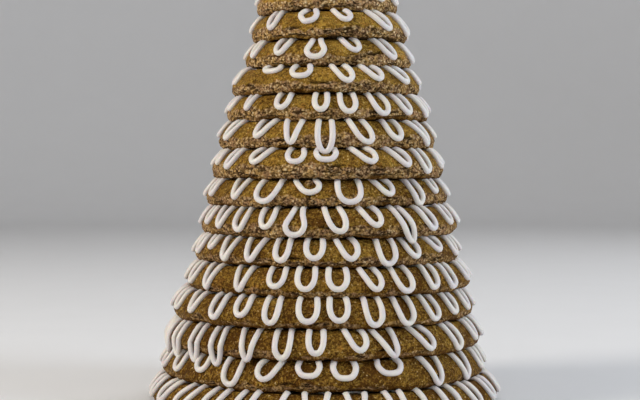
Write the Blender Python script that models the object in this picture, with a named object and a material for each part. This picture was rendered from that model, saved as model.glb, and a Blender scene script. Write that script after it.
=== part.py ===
"""A ring cake: eighteen baked almond rings of growing size, stacked into a hollow cone.

Each ring carries one bead of royal icing, piped round it as a zigzag whose turns hang over the
ring's outer shoulder. Lengths are in metres and +Z is up. The origin is under the middle of the
cake, on the plane that it stands on, and the front faces -Y.
"""

import math
import random
from collections import namedtuple

import bmesh
import bpy
from mathutils import Vector

MM = 0.001

# The taper of the ring moulds, from the smallest ring's outer radius to the largest's.
TOP_RADIUS = 30.5 * MM
BOTTOM_RADIUS = 104.0 * MM
REST_GAP = 0.3 * MM

# A ring's cross-section. Insets run inwards from the outer radius, heights are shares of its rise.
BAND_WIDTH = 20.0 * MM
LIP_INSET = 3.0 * MM
FOOT_INSET = 17.0 * MM
CREST_INSET = 8.3 * MM
CREST_INNER_INSET = 14.0 * MM
HOLE_SHOULDER_INSET = 19.2 * MM
BELLY_HEIGHT = 0.34
HOLE_SHOULDER_HEIGHT = 0.68
HOLE_BELLY_HEIGHT = 0.30

# The hand-rolled dough is never quite round: (waves round the ring, depth of each wave).
WAVES = ((2, 0.5 * MM), (3, 0.4 * MM))
MOST_STRAY = 0.8 * MM

# The piped bead, and where its turns lie up the outer shoulder, from the belly (0) to the crest (1).
LOOP_SPACING = 23.0 * MM
BEAD_WIDTH = 3.2 * MM
BEAD_HEIGHT = 2.6 * MM
TIP_CLIMB = 0.05
TURN_CLIMB = 0.83
# A ring with fewer loops than this has a corner at each tip too, so that it stays round.
FEW_LOOPS = 16

SEED = 18

# How each ring came out of the oven and onto the stack, top ring first, in millimetres: its outer
# radius beyond the even taper, its rise (its thickness), and how far it sits to the +X side.
Baked = namedtuple("Baked", "spread rise slip")
BAKED_RINGS = (
    Baked(0.0, 16.0, 2.5),
    Baked(0.0, 16.0, 2.5),
    Baked(0.1, 16.0, 2.5),
    Baked(-0.9, 16.2, 2.5),
    Baked(0.1, 16.2, 3.4),
    Baked(-1.4, 16.0, 2.9),
    Baked(0.8, 15.6, 1.7),
    Baked(0.8, 15.0, 1.5),
    Baked(1.0, 16.1, 1.4),
    Baked(0.9, 16.9, 2.6),
    Baked(-0.8, 15.7, 1.8),
    Baked(-0.4, 16.8, 2.9),
    Baked(-2.6, 15.9, 1.5),
    Baked(-0.9, 15.9, 2.1),
    Baked(-0.7, 16.7, 0.0),
    Baked(-1.0, 16.4, 0.0),
    Baked(-2.5, 17.2, -0.4),
    Baked(0.0, 16.4, 0.0),
)

CRUST_LIGHT = (0.42, 0.24, 0.075)
CRUST_DEEP = (0.33, 0.17, 0.045)
CRUST_ROUGHNESS = 0.72
ICING_COLOUR = (0.86, 0.82, 0.79)
ICING_ROUGHNESS = 0.38
SHARP_ANGLE = math.radians(38.0)


class Ring:
    """One baked ring: its place in the stack and the straight facets that its skin is made of."""

    def __init__(self, number, baked, base, rng):
        share = (number - 1) / (len(BAKED_RINGS) - 1)
        self.number = number
        self.depth = share
        self.radius = TOP_RADIUS + share * (BOTTOM_RADIUS - TOP_RADIUS) + baked.spread * MM
        self.rise = baked.rise * MM - REST_GAP
        self.centre = Vector((baked.slip * MM, rng.uniform(-MOST_STRAY, MOST_STRAY), base))
        self.loops = round(math.tau * self.radius / LOOP_SPACING)
        self.steps_per_loop = 2 if self.loops < FEW_LOOPS else 1
        self.steps = self.loops * self.steps_per_loop
        self.turn = rng.uniform(0.0, math.tau)
        self.phases = [rng.uniform(0.0, math.tau) for _ in WAVES]

    def outer_radius(self, angle):
        """The belly's radius at an angle, counted from the front towards +X. Facets touch it."""
        waves = zip(WAVES, self.phases)
        return self.radius + sum(d * math.sin(n * angle + p) for (n, d), p in waves)

    def corner(self, step, inset, height):
        """The skin's corner at a whole number of steps round the ring."""
        angle = self.turn + math.tau * step / self.steps
        radius = self.outer_radius(angle) / math.cos(math.pi / self.steps) - inset
        return Vector((radius * math.sin(angle), -radius * math.cos(angle), height))

    def shoulder(self, place, climb):
        """A point on the outer shoulder, between two corners where place isn't whole."""
        inset = climb * CREST_INSET
        height = self.rise * (BELLY_HEIGHT + climb * (1.0 - BELLY_HEIGHT))
        before = math.floor(place)
        first = self.corner(before, inset, height)
        return first.lerp(self.corner(before + 1, inset, height), place - before)

    def shoulder_normal(self, place):
        """The shoulder's outward normal, and on a corner the mean of its two facets."""
        total = Vector()
        for facet in {math.ceil(place) - 1, math.floor(place)}:
            foot = self.shoulder(facet, 0.0)
            along = self.shoulder(facet + 1, 0.0) - foot
            total += along.cross(self.shoulder(facet, 1.0) - foot).normalized()
        return total.normalized()

    def cross_section(self):
        """(inset, height) corners of the dough, from the outer lip up over the crest."""
        return (
            (LIP_INSET, 0.0),
            (0.0, BELLY_HEIGHT * self.rise),
            (CREST_INSET, self.rise),
            (CREST_INNER_INSET, self.rise),
            (HOLE_SHOULDER_INSET, HOLE_SHOULDER_HEIGHT * self.rise),
            (BAND_WIDTH, HOLE_BELLY_HEIGHT * self.rise),
            (FOOT_INSET, 0.0),
        )

    def dough_sections(self):
        """The cross-section at every corner, round the ring."""
        outline = self.cross_section()
        return [[self.corner(step, *point) for point in outline] for step in range(self.steps)]

    def icing_path(self):
        """(place, climb) of the zigzag's turns: high under the next ring, then low at a tip."""
        half = self.steps_per_loop / 2
        for loop in range(self.loops):
            yield loop * self.steps_per_loop, TURN_CLIMB
            yield loop * self.steps_per_loop + half, TIP_CLIMB

    def icing_sections(self):
        """The bead's three corners at every turn, mitred, with its flat side to the dough."""
        path = list(self.icing_path())
        normals = [self.shoulder_normal(place) for place, _ in path]
        points = [self.shoulder(*turn) + n * REST_GAP for turn, n in zip(path, normals)]
        sections = []
        for i, (point, normal) in enumerate(zip(points, normals)):
            arriving = (point - points[i - 1]).normalized()
            leaving = (points[(i + 1) % len(points)] - point).normalized()
            tangent = (arriving + leaving).normalized()
            mitre = 1.0 / tangent.dot(leaving)
            side = normal.cross(tangent).normalized() * (BEAD_WIDTH / 2 * mitre)
            sections.append([point - side, point + normal * BEAD_HEIGHT, point + side])
        return sections


def clear_scene():
    for old in list(bpy.data.objects):
        bpy.data.objects.remove(old, do_unlink=True)


def make_material(name, colour, roughness):
    material = bpy.data.materials.new(name)
    material.use_nodes = True
    shader = material.node_tree.nodes["Principled BSDF"]
    shader.inputs["Base Color"].default_value = (*colour, 1.0)
    shader.inputs["Roughness"].default_value = roughness
    shader.inputs["Metallic"].default_value = 0.0
    material.diffuse_color = (*colour, 1.0)
    return material


def closed_sweep(name, sections):
    """A mesh through the sections in turn, joined end to end, so that it closes on itself."""
    bm = bmesh.new()
    rings = [[bm.verts.new(point) for point in section] for section in sections]
    for here, there in zip(rings, rings[1:] + rings[:1]):
        for i, vertex in enumerate(here):
            after = (i + 1) % len(here)
            bm.faces.new((vertex, there[i], there[after], here[after]))
    bmesh.ops.recalc_face_normals(bm, faces=bm.faces[:])
    mesh = bpy.data.meshes.new(name)
    bm.to_mesh(mesh)
    bm.free()
    mesh.shade_smooth()
    mesh.set_sharp_from_angle(angle=SHARP_ANGLE)
    return mesh


def add_piece(name, sections, ring, material, parent):
    piece = bpy.data.objects.new(name, closed_sweep(name, sections))
    piece.data.materials.append(material)
    piece.location = ring.centre
    piece.parent = parent
    bpy.context.scene.collection.objects.link(piece)
    return piece


def stacked_rings():
    """The rings from the top one down, each standing on the next."""
    rng = random.Random(SEED)
    tops = sum(baked.rise for baked in BAKED_RINGS) * MM
    rings = []
    for number, baked in enumerate(BAKED_RINGS, start=1):
        tops -= baked.rise * MM
        rings.append(Ring(number, baked, tops, rng))
    return rings


def stand_on_origin(parent, pieces):
    """Moves the whole cake sideways, so that its box is centred over the origin."""
    points = [piece.location + vertex.co for piece in pieces for vertex in piece.data.vertices]
    for axis in (0, 1):
        across = [point[axis] for point in points]
        parent.location[axis] = -(min(across) + max(across)) / 2


def build_cake():
    cake = bpy.data.objects.new("cake", None)
    bpy.context.scene.collection.objects.link(cake)
    pieces = []
    for ring in stacked_rings():
        tone = Vector(CRUST_LIGHT).lerp(Vector(CRUST_DEEP), ring.depth)
        crust = make_material(f"crust_{ring.number:02d}", tone, CRUST_ROUGHNESS)
        icing = make_material(f"royal_icing_{ring.number:02d}", ICING_COLOUR, ICING_ROUGHNESS)
        dough_name = f"ring_{ring.number:02d}"
        icing_name = f"icing_{ring.number:02d}"
        pieces.append(add_piece(dough_name, ring.dough_sections(), ring, crust, cake))
        pieces.append(add_piece(icing_name, ring.icing_sections(), ring, icing, cake))
    stand_on_origin(cake, pieces)


clear_scene()
build_cake()
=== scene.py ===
"""Looks of a ring cake: baked almond rings with royal icing piped over their shoulders.

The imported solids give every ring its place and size. Here each ring becomes a cracked, crumbly
band of baked dough, and each icing solid becomes one hand-piped bead that loops round its ring.
Shapes are worked out in millimetres and turned into metres when a mesh is made.
"""

import logging
import math
from dataclasses import dataclass, field
from enum import Enum
from typing import Iterator

import bpy
import numpy as np
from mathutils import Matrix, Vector


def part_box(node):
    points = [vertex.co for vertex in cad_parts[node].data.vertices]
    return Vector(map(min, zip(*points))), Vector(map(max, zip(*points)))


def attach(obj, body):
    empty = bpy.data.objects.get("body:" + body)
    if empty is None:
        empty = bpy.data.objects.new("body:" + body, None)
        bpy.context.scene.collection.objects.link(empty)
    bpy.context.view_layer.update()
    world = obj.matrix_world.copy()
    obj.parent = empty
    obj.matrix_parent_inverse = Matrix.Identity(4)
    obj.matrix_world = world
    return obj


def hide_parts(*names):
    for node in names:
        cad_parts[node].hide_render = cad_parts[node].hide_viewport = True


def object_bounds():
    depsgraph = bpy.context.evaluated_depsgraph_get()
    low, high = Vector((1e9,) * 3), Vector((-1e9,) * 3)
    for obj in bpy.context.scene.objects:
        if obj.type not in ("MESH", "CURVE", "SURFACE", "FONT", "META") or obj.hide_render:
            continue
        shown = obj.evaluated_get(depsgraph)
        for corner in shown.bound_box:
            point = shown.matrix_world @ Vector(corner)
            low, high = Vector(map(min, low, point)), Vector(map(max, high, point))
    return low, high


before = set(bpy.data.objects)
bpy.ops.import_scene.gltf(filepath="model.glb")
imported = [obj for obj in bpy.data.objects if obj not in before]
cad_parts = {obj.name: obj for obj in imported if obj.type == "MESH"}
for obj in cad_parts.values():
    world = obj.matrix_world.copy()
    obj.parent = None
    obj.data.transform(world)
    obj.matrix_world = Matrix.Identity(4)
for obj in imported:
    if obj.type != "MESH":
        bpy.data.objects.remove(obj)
CAD_LOW, CAD_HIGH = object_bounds()

MM = 0.001
BODY = "root"
STRIP_MAP = "OFBake"
STRIP_EDGE = 0.004
STRIP_GAP = 0.02
RING_COUNT = sum(name.startswith("ring_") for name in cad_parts)
Colour = tuple[float, float, float]
Point = tuple[float, float, float]
log = logging.getLogger("ring_cake")


# ---------------------------------------------------------------------------- shader nodes


class Flow:
    """A node's output that can be used in arithmetic; each operation on it adds a Math node."""

    def __init__(self, bench: "Bench", socket: bpy.types.NodeSocket) -> None:
        """Wraps a socket of the bench's tree."""
        self.bench = bench
        self.socket = socket

    def math(self, operation: str, *values: "Flow | float", clamp: bool = False) -> "Flow":
        """The result of a Math node on values, held between 0 and 1 where clamp is set."""
        settings = {"operation": operation, "use_clamp": clamp}
        return self.bench.node("ShaderNodeMath", settings, dict(enumerate(values)))

    def __add__(self, other: "Flow | float") -> "Flow":
        """This plus other."""
        return self.math("ADD", self, other)

    def __radd__(self, other: float) -> "Flow":
        """Other plus this."""
        return self.math("ADD", other, self)

    def __sub__(self, other: "Flow | float") -> "Flow":
        """This minus other."""
        return self.math("SUBTRACT", self, other)

    def __rsub__(self, other: float) -> "Flow":
        """Other minus this."""
        return self.math("SUBTRACT", other, self)

    def __mul__(self, other: "Flow | float") -> "Flow":
        """This times other."""
        return self.math("MULTIPLY", self, other)

    def __rmul__(self, other: float) -> "Flow":
        """Other times this."""
        return self.math("MULTIPLY", other, self)

    def held(self) -> "Flow":
        """This, held between 0 and 1."""
        return self.math("ADD", self, 0.0, clamp=True)

    def between(self, low: float, high: float) -> "Flow":
        """A soft step.

        Args:
            low: where it leaves 0.
            high: where it reaches 1.

        Returns:
            0 below low and 1 above high, with a smooth rise between.
        """
        settings = {"interpolation_type": "SMOOTHSTEP"}
        inputs = {"Value": self, "From Min": low, "From Max": high}
        return self.bench.node("ShaderNodeMapRange", settings, inputs)


class Bench:
    """One material's node tree, and the few ways in which nodes are added to it."""

    # The places of a Mix node's two colours among its inputs, and of their mix among its outputs.
    MIX_FIRST, MIX_SECOND, MIX_RESULT = 6, 7, 2
    # How wide a cell is beside a blotch of the noise that warps it.
    WARP_SCALE = 0.6

    def __init__(self, name: str) -> None:
        """Makes the material with its Principled shader.

        Args:
            name: the material's name.
        """
        self.material = bpy.data.materials.new(name)
        self.material.use_nodes = True
        self.tree = self.material.node_tree
        self.shader = self.tree.nodes["Principled BSDF"]

    def node(
        self,
        kind: str,
        settings: dict | None = None,
        inputs: dict | None = None,
        output: str | int = 0,
    ) -> Flow:
        """Adds a node of any type.

        Args:
            kind: the node's type.
            settings: its own settings, such as an operation, which are set first.
            inputs: a value or a Flow for each socket, by name or place.
            output: the name or place of the output to return.

        Returns:
            That output.
        """
        made = self.tree.nodes.new(kind)
        for key, value in (settings or {}).items():
            setattr(made, key, value)
        for key, value in (inputs or {}).items():
            self._feed(made.inputs[key], value)
        return Flow(self, made.outputs[output])

    def _feed(self, socket: bpy.types.NodeSocket, value: object) -> None:
        """Links a Flow to a socket, or sets a plain value on it.

        Args:
            socket: the socket.
            value: what it gets: a Flow, a number, a vector or a colour.
        """
        if isinstance(value, Flow):
            self.tree.links.new(value.socket, socket)
        elif socket.type == "RGBA":
            socket.default_value = (*value, 1.0)
        else:
            socket.default_value = value

    def place(self) -> Flow:
        """The point on the piece, in its own coordinates."""
        return self.node("ShaderNodeTexCoord", output="Object")

    def grain(self, size_mm: float, detail: float = 2.0, roughness: float = 0.5) -> Flow:
        """Smooth noise.

        Args:
            size_mm: how wide one blotch is.
            detail: how many finer layers it has.
            roughness: how strong those are.

        Returns:
            A value around 0.5.
        """
        inputs = {
            "Vector": self.place(),
            "Scale": 1.0 / (size_mm * MM),
            "Detail": detail,
            "Roughness": roughness,
        }
        return self.node("ShaderNodeTexNoise", inputs=inputs, output="Fac")

    def cells(self, size_mm: float, warp_mm: float = 0.0) -> Flow:
        """The distance to the middle of a small cell, for crumbs.

        Args:
            size_mm: how wide one cell is.
            warp_mm: how far noise pulls the cells out of shape.

        Returns:
            A value from 0 at a cell's middle to about 0.8 between cells.
        """
        place = self.place()
        if warp_mm:
            noise = {"Vector": place, "Scale": self.WARP_SCALE / (size_mm * MM)}
            pull = self.node("ShaderNodeTexNoise", inputs=noise, output="Color")
            pull = self.vector("SUBTRACT", pull, (0.5, 0.5, 0.5))
            pull = self.vector("MULTIPLY", pull, (2.0 * warp_mm * MM,) * 3)
            place = self.vector("ADD", place, pull)
        inputs = {"Vector": place, "Scale": 1.0 / (size_mm * MM)}
        return self.node("ShaderNodeTexVoronoi", inputs=inputs, output="Distance")

    def vector(self, operation: str, *values: "Flow | Colour") -> Flow:
        """Adds a Vector Math node to vectors and returns its result."""
        return self.node("ShaderNodeVectorMath", {"operation": operation}, dict(enumerate(values)))

    def painted(self, name: str) -> Flow:
        """A value that the mesh carries at each of its points."""
        return self.node("ShaderNodeAttribute", {"attribute_name": name}, output="Fac")

    def mix(self, first: "Flow | Colour", second: "Flow | Colour", share: "Flow | float") -> Flow:
        """A colour between two, by a share of the second."""
        inputs = {"Factor": share, self.MIX_FIRST: first, self.MIX_SECOND: second}
        return self.node("ShaderNodeMix", {"data_type": "RGBA"}, inputs, self.MIX_RESULT)

    def bump(self, height: Flow, depth_mm: float, strength: float) -> Flow:
        """A normal from a height of 0 to 1 that stands for a depth."""
        inputs = {"Height": height, "Distance": depth_mm * MM, "Strength": strength}
        return self.node("ShaderNodeBump", inputs=inputs)

    def finish(self, **sockets: "Flow | float | Colour") -> bpy.types.Material:
        """Feeds the shader.

        Args:
            sockets: what each of its sockets gets, with _ for the spaces in a socket's name.

        Returns:
            The finished material.
        """
        for key, value in sockets.items():
            self._feed(self.shader.inputs[key.replace("_", " ")], value)
        return self.material


# ---------------------------------------------------------------------------- finishes


@dataclass(frozen=True)
class BakedAlmondCrust:
    """Baked ground-almond dough: golden where it domed, pale and crumbly where it tore open.

    Its sizes are millimetres: how wide its specks, granules and patches of colour are, how far
    its granules are pulled out of shape, and how deep its relief is.
    """

    golden: Colour = (0.460, 0.256, 0.040)
    straw: Colour = (0.490, 0.308, 0.054)
    orange: Colour = (0.560, 0.240, 0.040)
    toasted: Colour = (0.104, 0.042, 0.005)
    crumb: Colour = (0.770, 0.465, 0.170)
    almond: Colour = (1.000, 0.810, 0.490)
    dusky: Colour = (0.630, 0.365, 0.180)
    # Painted shade: a near-black that darkens cracks, holes, pores, the gaps between granules and
    # the dough under the lips.
    hollow: Colour = (0.020, 0.008, 0.002)
    speck: float = 2.0
    fine_speck: float = 0.9
    granule: float = 1.8
    granule_warp: float = 0.9
    patch: float = 6.0
    torn_patch: float = 5.0
    relief: float = 0.8
    gloss: float = 0.05

    def material(self, name: str) -> bpy.types.Material:
        """Builds the finish.

        Args:
            name: the material's name.

        Returns:
            The material, which reads the mesh's torn and toast values and the painted shade that it
            carries.
        """
        bench = Bench(name)
        # The mesh's painted shade, in cracks, holes, tears and under the lips, and its browning.
        painted_shade, toast = bench.painted("painted_shade"), bench.painted("toast")
        specks = bench.grain(self.speck, 3.0, 0.65).between(0.30, 0.70)
        fine = bench.grain(self.fine_speck, 3.0, 0.6).between(0.30, 0.70)
        torn = (bench.painted("torn") + (specks - 0.5) * 0.5).between(0.20, 0.80)
        granule = 1.0 - bench.cells(self.granule, self.granule_warp).between(0.22, 0.56)

        skin = self.skin(bench, toast, specks, fine, granule)
        inside = self.inside(bench, toast, specks, granule)
        surface = bench.mix(skin, inside, torn * 0.9)

        # Painted shade: the gaps between granules, the pores and the mesh's painted shade darken the
        # colour towards the near-black hollow.
        granule_gap_shade = (1.0 - granule) * (1.0 - specks) * (0.16 + torn * 1.10)
        pores = (1.0 - fine).between(0.70, 0.95)
        colour = bench.mix(surface, self.hollow, (painted_shade + granule_gap_shade * 0.9 + pores * 0.3).held() * 0.9)

        height = fine * 0.30 + specks * 0.45 + granule * (0.20 + torn * 0.50) - pores * 0.4
        return bench.finish(
            Base_Color=colour,
            Roughness=(0.52 + torn * 0.28 + (specks - 0.5) * 0.16).held(),
            Normal=bench.bump(height, self.relief, strength=1.0),
            Specular_IOR_Level=self.gloss,
        )

    def skin(self, bench: Bench, toast: Flow, specks: Flow, fine: Flow, granule: Flow) -> Flow:
        """The colour of the domed skin: golden in patches, and browned in the oven.

        Args:
            bench: the material's bench.
            toast: how browned the dough is, from 0 to 1.
            specks: the coarse specks.
            fine: the fine specks.
            granule: the ground almond's granules.

        Returns:
            The colour.
        """
        straw = bench.grain(self.patch, 3.0, 0.65).between(0.42, 0.60)
        orange = bench.grain(self.patch, 2.0).between(0.56, 0.70) * 0.6
        browned = toast + (1.0 - specks) * 0.60 + (1.0 - fine) * 0.55 - 0.42
        almond = (fine * specks * granule).between(0.30, 0.80) * 0.4
        skin = bench.mix(self.golden, self.straw, straw)
        skin = bench.mix(skin, self.orange, orange)
        skin = bench.mix(skin, self.toasted, browned.held())
        return bench.mix(skin, self.almond, almond)

    def inside(self, bench: Bench, toast: Flow, specks: Flow, granule: Flow) -> Flow:
        """The colour of the torn inside: pale granules in duller crumb.

        Args:
            bench: the material's bench.
            toast: how browned the dough is, from 0 to 1.
            specks: the coarse specks.
            granule: the ground almond's granules.

        Returns:
            The colour.
        """
        dusky = bench.grain(self.torn_patch, 2.0).between(0.42, 0.60)
        almond = granule * specks.between(0.15, 0.85) * (1.0 - toast * 0.7)
        inside = bench.mix(self.crumb, self.dusky, dusky)
        inside = bench.mix(inside, self.almond, almond)
        return bench.mix(inside, self.toasted, (toast * 0.55).held())


@dataclass(frozen=True)
class RoyalIcing:
    """Dried royal icing: off-white and satin, with the soft unevenness of a hand-held bag.

    Its sizes are millimetres: how wide its patches of colour and its ripples are, how deep the
    ripples are, and how far light goes in.
    """

    cream: Colour = (0.750, 0.705, 0.645)
    blush: Colour = (0.705, 0.660, 0.650)
    patch: float = 9.0
    ripple: float = 2.8
    fine_ripple: float = 0.9
    ripple_depth: float = 0.22
    roughness: float = 0.40
    gloss: float = 0.45
    translucency: float = 0.10
    light_depth: float = 1.6

    def material(self, name: str) -> bpy.types.Material:
        """Builds the finish.

        Args:
            name: the material's name.

        Returns:
            The material.
        """
        bench = Bench(name)
        blush = bench.grain(self.patch, 2.0).between(0.38, 0.62)
        height = bench.grain(self.ripple, 2.0) + bench.grain(self.fine_ripple) * 0.2
        return bench.finish(
            Base_Color=bench.mix(self.cream, self.blush, blush),
            Normal=bench.bump(height, self.ripple_depth, strength=0.45),
            Roughness=self.roughness,
            Subsurface_Weight=self.translucency,
            Subsurface_Scale=self.light_depth * MM,
            Specular_IOR_Level=self.gloss,
        )


@dataclass(frozen=True)
class StudioPaper:
    """Matte pale paper for the floor and the wall round it."""

    tone: Colour = (0.79, 0.79, 0.80)
    lighter: float = 1.03
    cloud: float = 60.0
    roughness: float = 0.9

    def material(self, name: str) -> bpy.types.Material:
        """Builds the finish.

        Args:
            name: the material's name.

        Returns:
            The material.
        """
        bench = Bench(name)
        clouds = bench.grain(self.cloud, 3.0)
        light_tone = tuple(part * self.lighter for part in self.tone)
        return bench.finish(
            Base_Color=bench.mix(self.tone, light_tone, clouds),
            Roughness=self.roughness + (clouds - 0.5) * 0.05,
        )


# ---------------------------------------------------------------------------- shared geometry


@dataclass(frozen=True)
class Layer:
    """One layer of unevenness: how wide its blotches are, how high, and where it is read.

    The width is one number, or one along each axis. The shift moves the place at which the
    relief is read, so that no two layers rise and fall together. All are millimetres.
    """

    width: float | Point
    height: float = 1.0
    shift: float = 0.0


class Relief:
    """Smooth random relief in space, the same on every run."""

    TABLE = 256
    FULL = 1.6

    def __init__(self, seed: int) -> None:
        """Draws the lattice's directions.

        Args:
            seed: gives each relief its own shape.
        """
        rng = np.random.default_rng(seed)
        self.order = rng.permutation(self.TABLE)
        slopes = rng.normal(size=(self.TABLE, 3))
        self.slopes = slopes / np.linalg.norm(slopes, axis=1, keepdims=True)

    def _slope(self, cell: np.ndarray) -> np.ndarray:
        """The direction in which the relief rises at some lattice points.

        Args:
            cell: the lattice points, one row each.

        Returns:
            The directions, one row each.
        """
        index = self.order[cell[:, 0] % self.TABLE]
        index = self.order[(index + cell[:, 1]) % self.TABLE]
        return self.slopes[self.order[(index + cell[:, 2]) % self.TABLE]]

    def at(self, points: np.ndarray, width: float | Point) -> np.ndarray:
        """Reads the relief.

        Args:
            points: the places, one row each, in millimetres.
            width: a blotch's width, or its width along each axis.

        Returns:
            A height of about -1 to 1 at each place.
        """
        scaled = points / np.array(width)
        cell = np.floor(scaled).astype(int)
        inside = scaled - cell
        ease = inside**3 * (inside * (inside * 6.0 - 15.0) + 10.0)
        total = np.zeros(len(points))
        for corner in np.ndindex(2, 2, 2):
            offset = inside - corner
            weight = np.prod(np.where(corner, ease, 1.0 - ease), axis=1)
            total += weight * np.einsum("ij,ij->i", self._slope(cell + corner), offset)
        return total * self.FULL

    def layered(self, points: np.ndarray, *layers: Layer) -> np.ndarray:
        """The height of some layers together at each point."""
        return sum(self.at(points + one.shift, one.width) * one.height for one in layers)


def soft_step(values: np.ndarray, low: float, high: float) -> np.ndarray:
    """0 below low and 1 above high, with a smooth rise between, or the reverse if low is higher."""
    share = np.clip((values - low) / (high - low), 0.0, 1.0)
    return share * share * (3.0 - 2.0 * share)


def smooth_through(points: np.ndarray, steps: int, closed: bool) -> np.ndarray:
    """A smooth curve through points.

    Args:
        points: one row each.
        steps: how many points the curve gets for each of them.
        closed: whether the curve comes back to its start.

    Returns:
        The curve's points, one row each.
    """
    if closed:
        around = np.concatenate([points[-1:], points, points[:2]])
    else:
        around = np.concatenate([points[:1], points, points[-1:]])
    share = (np.arange(steps) / steps)[:, None]
    spans = []
    for a, b, c, d in zip(around, around[1:], around[2:], around[3:]):
        bend = 2.0 * b + (c - a) * share
        bend = bend + (2.0 * a - 5.0 * b + 4.0 * c - d) * share**2
        spans.append((bend + (3.0 * b - a - 3.0 * c + d) * share**3) / 2.0)
    if not closed:
        spans.append(points[-1:])
    return np.concatenate(spans)


def round_grid(name: str, grid: np.ndarray, painted: dict[str, np.ndarray]) -> bpy.types.Object:
    """A mesh from a grid of points that closes on itself both ways, such as a ring.

    Args:
        name: the object's name.
        grid: points in millimetres, by place along, place around and axis.
        painted: values for each point, by name.

    Returns:
        The object, smooth shaded, with its faces pointing out.
    """
    along, around = grid.shape[:2]
    points = grid.reshape(-1, 3) * MM
    first = np.arange(along)[:, None] * around + np.arange(around)[None, :]
    ahead = np.roll(first, -1, axis=0)
    quads = np.stack(
        [first, ahead, np.roll(ahead, -1, axis=1), np.roll(first, -1, axis=1)], axis=-1
    ).reshape(-1, 4)
    corners = points[quads]
    facing = np.cross(corners[:, 2] - corners[:, 0], corners[:, 3] - corners[:, 1])
    if np.einsum("ij,ij->", facing, corners.mean(axis=1)) < 0.0:
        quads = quads[:, ::-1]
    mesh = bpy.data.meshes.new(name)
    mesh.vertices.add(len(points))
    mesh.vertices.foreach_set("co", points.astype(np.float32).ravel())
    mesh.loops.add(quads.size)
    mesh.loops.foreach_set("vertex_index", quads.astype(np.int32).ravel())
    mesh.polygons.add(len(quads))
    mesh.polygons.foreach_set("loop_start", np.arange(0, quads.size, 4, dtype=np.int32))
    mesh.update(calc_edges=True)
    mesh.validate()
    mesh.shade_smooth()
    for key, values in painted.items():
        layer = mesh.attributes.new(key, "FLOAT", "POINT")
        layer.data.foreach_set("value", values.astype(np.float32).ravel())
    mesh.uv_layers.new(name=STRIP_MAP).data.foreach_set("uv", strip_map(grid, quads).ravel())
    made = bpy.data.objects.new(name, mesh)
    bpy.context.scene.collection.objects.link(made)
    return made


def strip_map(grid: np.ndarray, quads: np.ndarray) -> np.ndarray:
    """Lays a closed grid out flat, in strips one above the other, so that little is stretched.

    Args:
        grid: the points, by place along, place around and axis.
        quads: each face's four points, as places in the grid's flat list.

    Returns:
        A place on the map for each corner of each face.
    """
    along, around = grid.shape[:2]
    length = np.linalg.norm(np.roll(grid[:, 0], -1, axis=0) - grid[:, 0], axis=1).sum()
    girth = np.linalg.norm(np.roll(grid[0], -1, axis=0) - grid[0], axis=1).sum()
    strips = max(1, round(math.sqrt(length / girth)))
    ends = np.linspace(0, along, strips + 1).astype(int)
    step, turn = np.divmod(quads, around)
    first_step, first_turn = np.divmod(np.arange(len(quads)), around)
    strip = np.searchsorted(ends, first_step, side="right") - 1
    ahead = (step - first_step[:, None]) % along + first_step[:, None] - ends[strip][:, None]
    across = (turn - first_turn[:, None]) % around + first_turn[:, None]
    room = 1.0 - 2.0 * STRIP_EDGE
    flat_u = STRIP_EDGE + room * ahead / np.diff(ends)[strip][:, None]
    share = STRIP_GAP + (1.0 - 2.0 * STRIP_GAP) * across / around
    flat_v = STRIP_EDGE + room * (strip[:, None] + share) / strips
    turned = np.cross(
        np.stack([flat_u[:, 2] - flat_u[:, 0], flat_v[:, 2] - flat_v[:, 0]], axis=1),
        np.stack([flat_u[:, 3] - flat_u[:, 1], flat_v[:, 3] - flat_v[:, 1]], axis=1),
    )
    if turned.sum() < 0.0:
        flat_u = 1.0 - flat_u
    return np.stack([flat_u, flat_v], axis=-1).astype(np.float32)


# ---------------------------------------------------------------------------- the almond rings


@dataclass(frozen=True)
class Tear:
    """A large crack in a ring, or a stray crumb where its depth is negative.

    It lies at an angle, counted from the front towards +X, and some millimetres down from the
    crest's edge, and slants by some degrees. Its length, width and depth are millimetres.
    """

    angle: float
    down: float
    length: float
    width: float
    depth: float
    slant: float = 0.0


TEARS = {
    5: (Tear(-27, 13.0, 13.0, 1.8, 1.5), Tear(12, 14.0, 9.0, 1.5, 1.3, -8.0)),
    6: (Tear(33, 10.5, 15.0, 2.6, 2.2, -4.0), Tear(55, 13.0, 10.0, 1.6, 1.5, 5.0)),
    7: (Tear(-3, 12.5, 16.0, 1.8, 1.7, 4.0), Tear(-52, 13.0, 10.0, 1.5, 1.3)),
    8: (Tear(38, 13.5, 12.0, 1.6, 1.4, -6.0), Tear(-15, 14.0, 8.0, 1.4, 1.2)),
    9: (Tear(-22, 14.0, 16.0, 2.0, 1.8, -3.0), Tear(46, 12.5, 15.0, 2.0, 1.7, 6.0)),
    10: (Tear(4, 12.0, 12.0, 1.6, 1.5, -5.0), Tear(24, 14.5, 10.0, 1.8, 1.6)),
    11: (
        Tear(-8, 11.5, 5.0, 1.3, 1.6, 80.0),
        Tear(-8.6, 3.6, 5.6, 4.0, -2.5),
        Tear(30, 13.0, 12.0, 1.6, 1.4, 5.0),
    ),
    12: (Tear(1, 13.5, 18.0, 1.8, 1.6, 3.0), Tear(-30, 14.0, 9.0, 1.4, 1.2)),
    13: (Tear(-14, 13.5, 12.0, 1.6, 1.4), Tear(42, 13.0, 12.0, 1.6, 1.4, -6.0)),
    14: (Tear(-34, 14.0, 9.0, 1.5, 1.3), Tear(18, 14.5, 12.0, 1.4, 1.2)),
    16: (Tear(22, 14.0, 14.0, 1.4, 1.2, 4.0),),
    17: (Tear(-12, 15.0, 12.0, 1.4, 1.2, -3.0),),
}


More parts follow.
